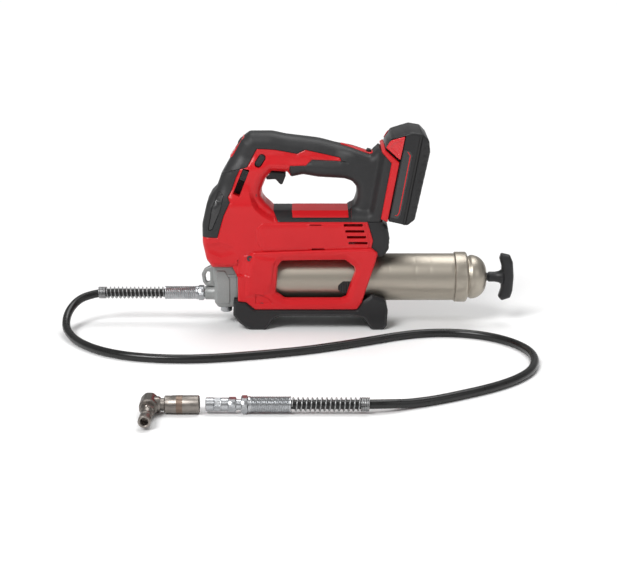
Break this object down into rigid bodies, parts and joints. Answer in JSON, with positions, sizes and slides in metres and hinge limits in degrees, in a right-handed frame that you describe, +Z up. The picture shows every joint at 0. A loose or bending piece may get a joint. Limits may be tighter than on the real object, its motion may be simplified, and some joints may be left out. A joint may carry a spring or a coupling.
{
  "type": "cordless grease gun",
  "caption": "Battery grease gun: loop handle body over a screw-in grease barrel, cast pump head, T-handle follower, slide-on battery and a flexible hose with coupler and angled adapter.",
  "frame": {"origin": "on the ground under the middle of the gun without its hose: halfway between the strap eyelet and the T-handle, on the middle plane, at the feet", "axes": "+X along the barrel towards the T-handle, -Y the side with the speed selector, +Z up"},
  "size_m": [0.5643, 0.416, 0.2428],
  "materials": {
    "red_plastic": "fine satin texture",
    "black_rubber": "soft matt",
    "black_plastic": "satin",
    "seal_rubber": "smooth",
    "cast_head": "cast, satin grey",
    "barrel_nickel": "warm brushed nickel plate",
    "bright_steel": "zinc plated",
    "dark_steel": "machined, lightly tarnished",
    "screw_steel": "blackened",
    "machine_steel": "ground",
    "motor_can": "lacquered",
    "board": "solder mask",
    "cell_sleeve": "shrink sleeve",
    "lamp_glass": "clear",
    "hose_rubber": "glossy"
  },
  "bodies": {
    "root": {"housing_left": "red_plastic", "housing_right": "red_plastic", "handle_grip": "black_rubber", "lower_grip": "black_rubber", "front_bumper": "black_rubber", "rail_cover": "black_rubber", "rail_insert": "red_plastic", "rear_grip": "black_rubber", "motor_end_cap": "black_plastic", "battery_receptacle": "red_plastic", "terminal_block": "black_plastic", "base_skid": "black_rubber", "housing_screws": "screw_steel", "barrel_pads": "black_rubber", "stator": "motor_can", "bearings": "machine_steel", "ring_gear": "machine_steel", "control_board": "board", "trigger_switch": "black_plastic", "trigger_pin": "machine_steel", "trigger_spring": "machine_steel", "lamp_bezel": "red_plastic", "lamp_lens": "lamp_glass", "pump_head": "cast_head", "check_valve": "machine_steel", "head_plug": "bright_steel", "hose": "hose_rubber", "pump_fitting": "bright_steel", "pump_spring_guard": "bright_steel", "coupler_fitting": "bright_steel", "coupler_spring_guard": "bright_steel", "coupler": "bright_steel"},
    "rotor": {"rotor": "machine_steel", "cooling_fan": "black_plastic"},
    "carrier": {"planet_carrier": "machine_steel"},
    "planet_1": {"planet_gear_1": "machine_steel"},
    "planet_2": {"planet_gear_2": "machine_steel"},
    "planet_3": {"planet_gear_3": "machine_steel"},
    "pump": {"pump_yoke": "machine_steel", "pump_plunger": "machine_steel"},
    "trigger": {"trigger": "black_plastic"},
    "lock": {"lock_button": "black_plastic"},
    "selector": {"speed_selector": "black_plastic"},
    "lamp_switch": {"lamp_button": "black_plastic"},
    "bleed": {"bleed_valve": "bright_steel"},
    "barrel": {"barrel": "barrel_nickel", "barrel_cap": "barrel_nickel"},
    "follower": {"follower": "machine_steel", "follower_seal": "seal_rubber", "follower_spring": "machine_steel"},
    "rod": {"follower_rod": "machine_steel", "t_handle": "black_plastic"},
    "battery": {"battery_case": "black_plastic", "battery_base": "black_plastic", "battery_cells": "cell_sleeve"},
    "latch_left": {"battery_latch_left": "red_plastic"},
    "latch_right": {"battery_latch_right": "red_plastic"},
    "adapter": {"adapter_body": "dark_steel", "adapter_nozzle": "dark_steel"}
  },
  "joints": [
    {"name": "rotor_spin", "type": "hinge", "parent": "root", "child": "rotor", "pos_m": [-0.04, 0, 0.1125], "axis": [1, 0, 0], "continuous": true},
    {"name": "carrier_spin", "type": "hinge", "parent": "root", "child": "carrier", "pos_m": [-0.11, 0, 0.1125], "axis": [1, 0, 0], "continuous": true},
    {"name": "planet_1_spin", "type": "hinge", "parent": "carrier", "child": "planet_1", "pos_m": [-0.1, 0.00975, 0.1125], "axis": [1, 0, 0], "continuous": true},
    {"name": "planet_2_spin", "type": "hinge", "parent": "carrier", "child": "planet_2", "pos_m": [-0.1, -0.00487, 0.12094], "axis": [1, 0, 0], "continuous": true},
    {"name": "planet_3_spin", "type": "hinge", "parent": "carrier", "child": "planet_3", "pos_m": [-0.1, -0.00487, 0.10406], "axis": [1, 0, 0], "continuous": true},
    {"name": "pump_stroke", "type": "slide", "parent": "root", "child": "pump", "axis": [0, 0, 1], "range_m": [-0.006, 0.006]},
    {"name": "trigger_pull", "type": "hinge", "parent": "root", "child": "trigger", "pos_m": [-0.11, 0, 0.189], "axis": [0, -1, 0], "range_deg": [0, 10], "stiffness_Nm_per_rad": 0.5, "springref_deg": -11.46, "deforming": ["trigger_spring"]},
    {"name": "lock_slide", "type": "slide", "parent": "root", "child": "lock", "axis": [0, 1, 0], "range_m": [-0.0022, 0.0022]},
    {"name": "selector_slide", "type": "slide", "parent": "root", "child": "selector", "axis": [-0.3659, 0, -0.9307], "range_m": [0, 0.015]},
    {"name": "lamp_press", "type": "slide", "parent": "root", "child": "lamp_switch", "axis": [0.831, 0, -0.5563], "range_m": [0, 0.001], "stiffness_N_per_m": 400, "springref_m": -0.0005},
    {"name": "bleed_turn", "type": "hinge", "parent": "root", "child": "bleed", "pos_m": [-0.153, 0.02, 0.048], "axis": [0, 1, 0], "range_deg": [0, 360]},
    {"name": "barrel_turn", "type": "hinge", "parent": "root", "child": "barrel", "pos_m": [0, 0, 0.058], "axis": [1, 0, 0], "range_deg": [0, 360]},
    {"name": "follower_draw", "type": "slide", "parent": "barrel", "child": "follower", "axis": [1, 0, 0], "range_m": [0, 0.16], "stiffness_N_per_m": 120, "springref_m": -0.06, "deforming": ["follower_spring"]},
    {"name": "rod_turn", "type": "hinge", "parent": "follower", "child": "rod", "pos_m": [0, 0, 0.058], "axis": [1, 0, 0], "range_deg": [0, 90]},
    {"name": "battery_slide", "type": "slide", "parent": "root", "child": "battery", "axis": [0.1736, 0, 0.9848], "range_m": [0, 0.08]},
    {"name": "latch_left_press", "type": "slide", "parent": "battery", "child": "latch_left", "axis": [0, -1, 0], "range_m": [0, 0.0025], "stiffness_N_per_m": 400, "springref_m": -0.001},
    {"name": "latch_right_press", "type": "slide", "parent": "battery", "child": "latch_right", "axis": [0, 1, 0], "range_m": [0, 0.0025], "stiffness_N_per_m": 400, "springref_m": -0.001},
    {"name": "adapter_push", "type": "slide", "parent": "root", "child": "adapter", "axis": [1, 0, 0], "range_m": [0, 0.0295]}
  ],
  "couplings": [
    {"joint": "carrier_spin", "follows": "rotor_spin", "ratio": 0.2},
    {"joint": "planet_1_spin", "follows": "rotor_spin", "ratio": -0.53333},
    {"joint": "planet_2_spin", "follows": "rotor_spin", "ratio": -0.53333},
    {"joint": "planet_3_spin", "follows": "rotor_spin", "ratio": -0.53333}
  ]
}
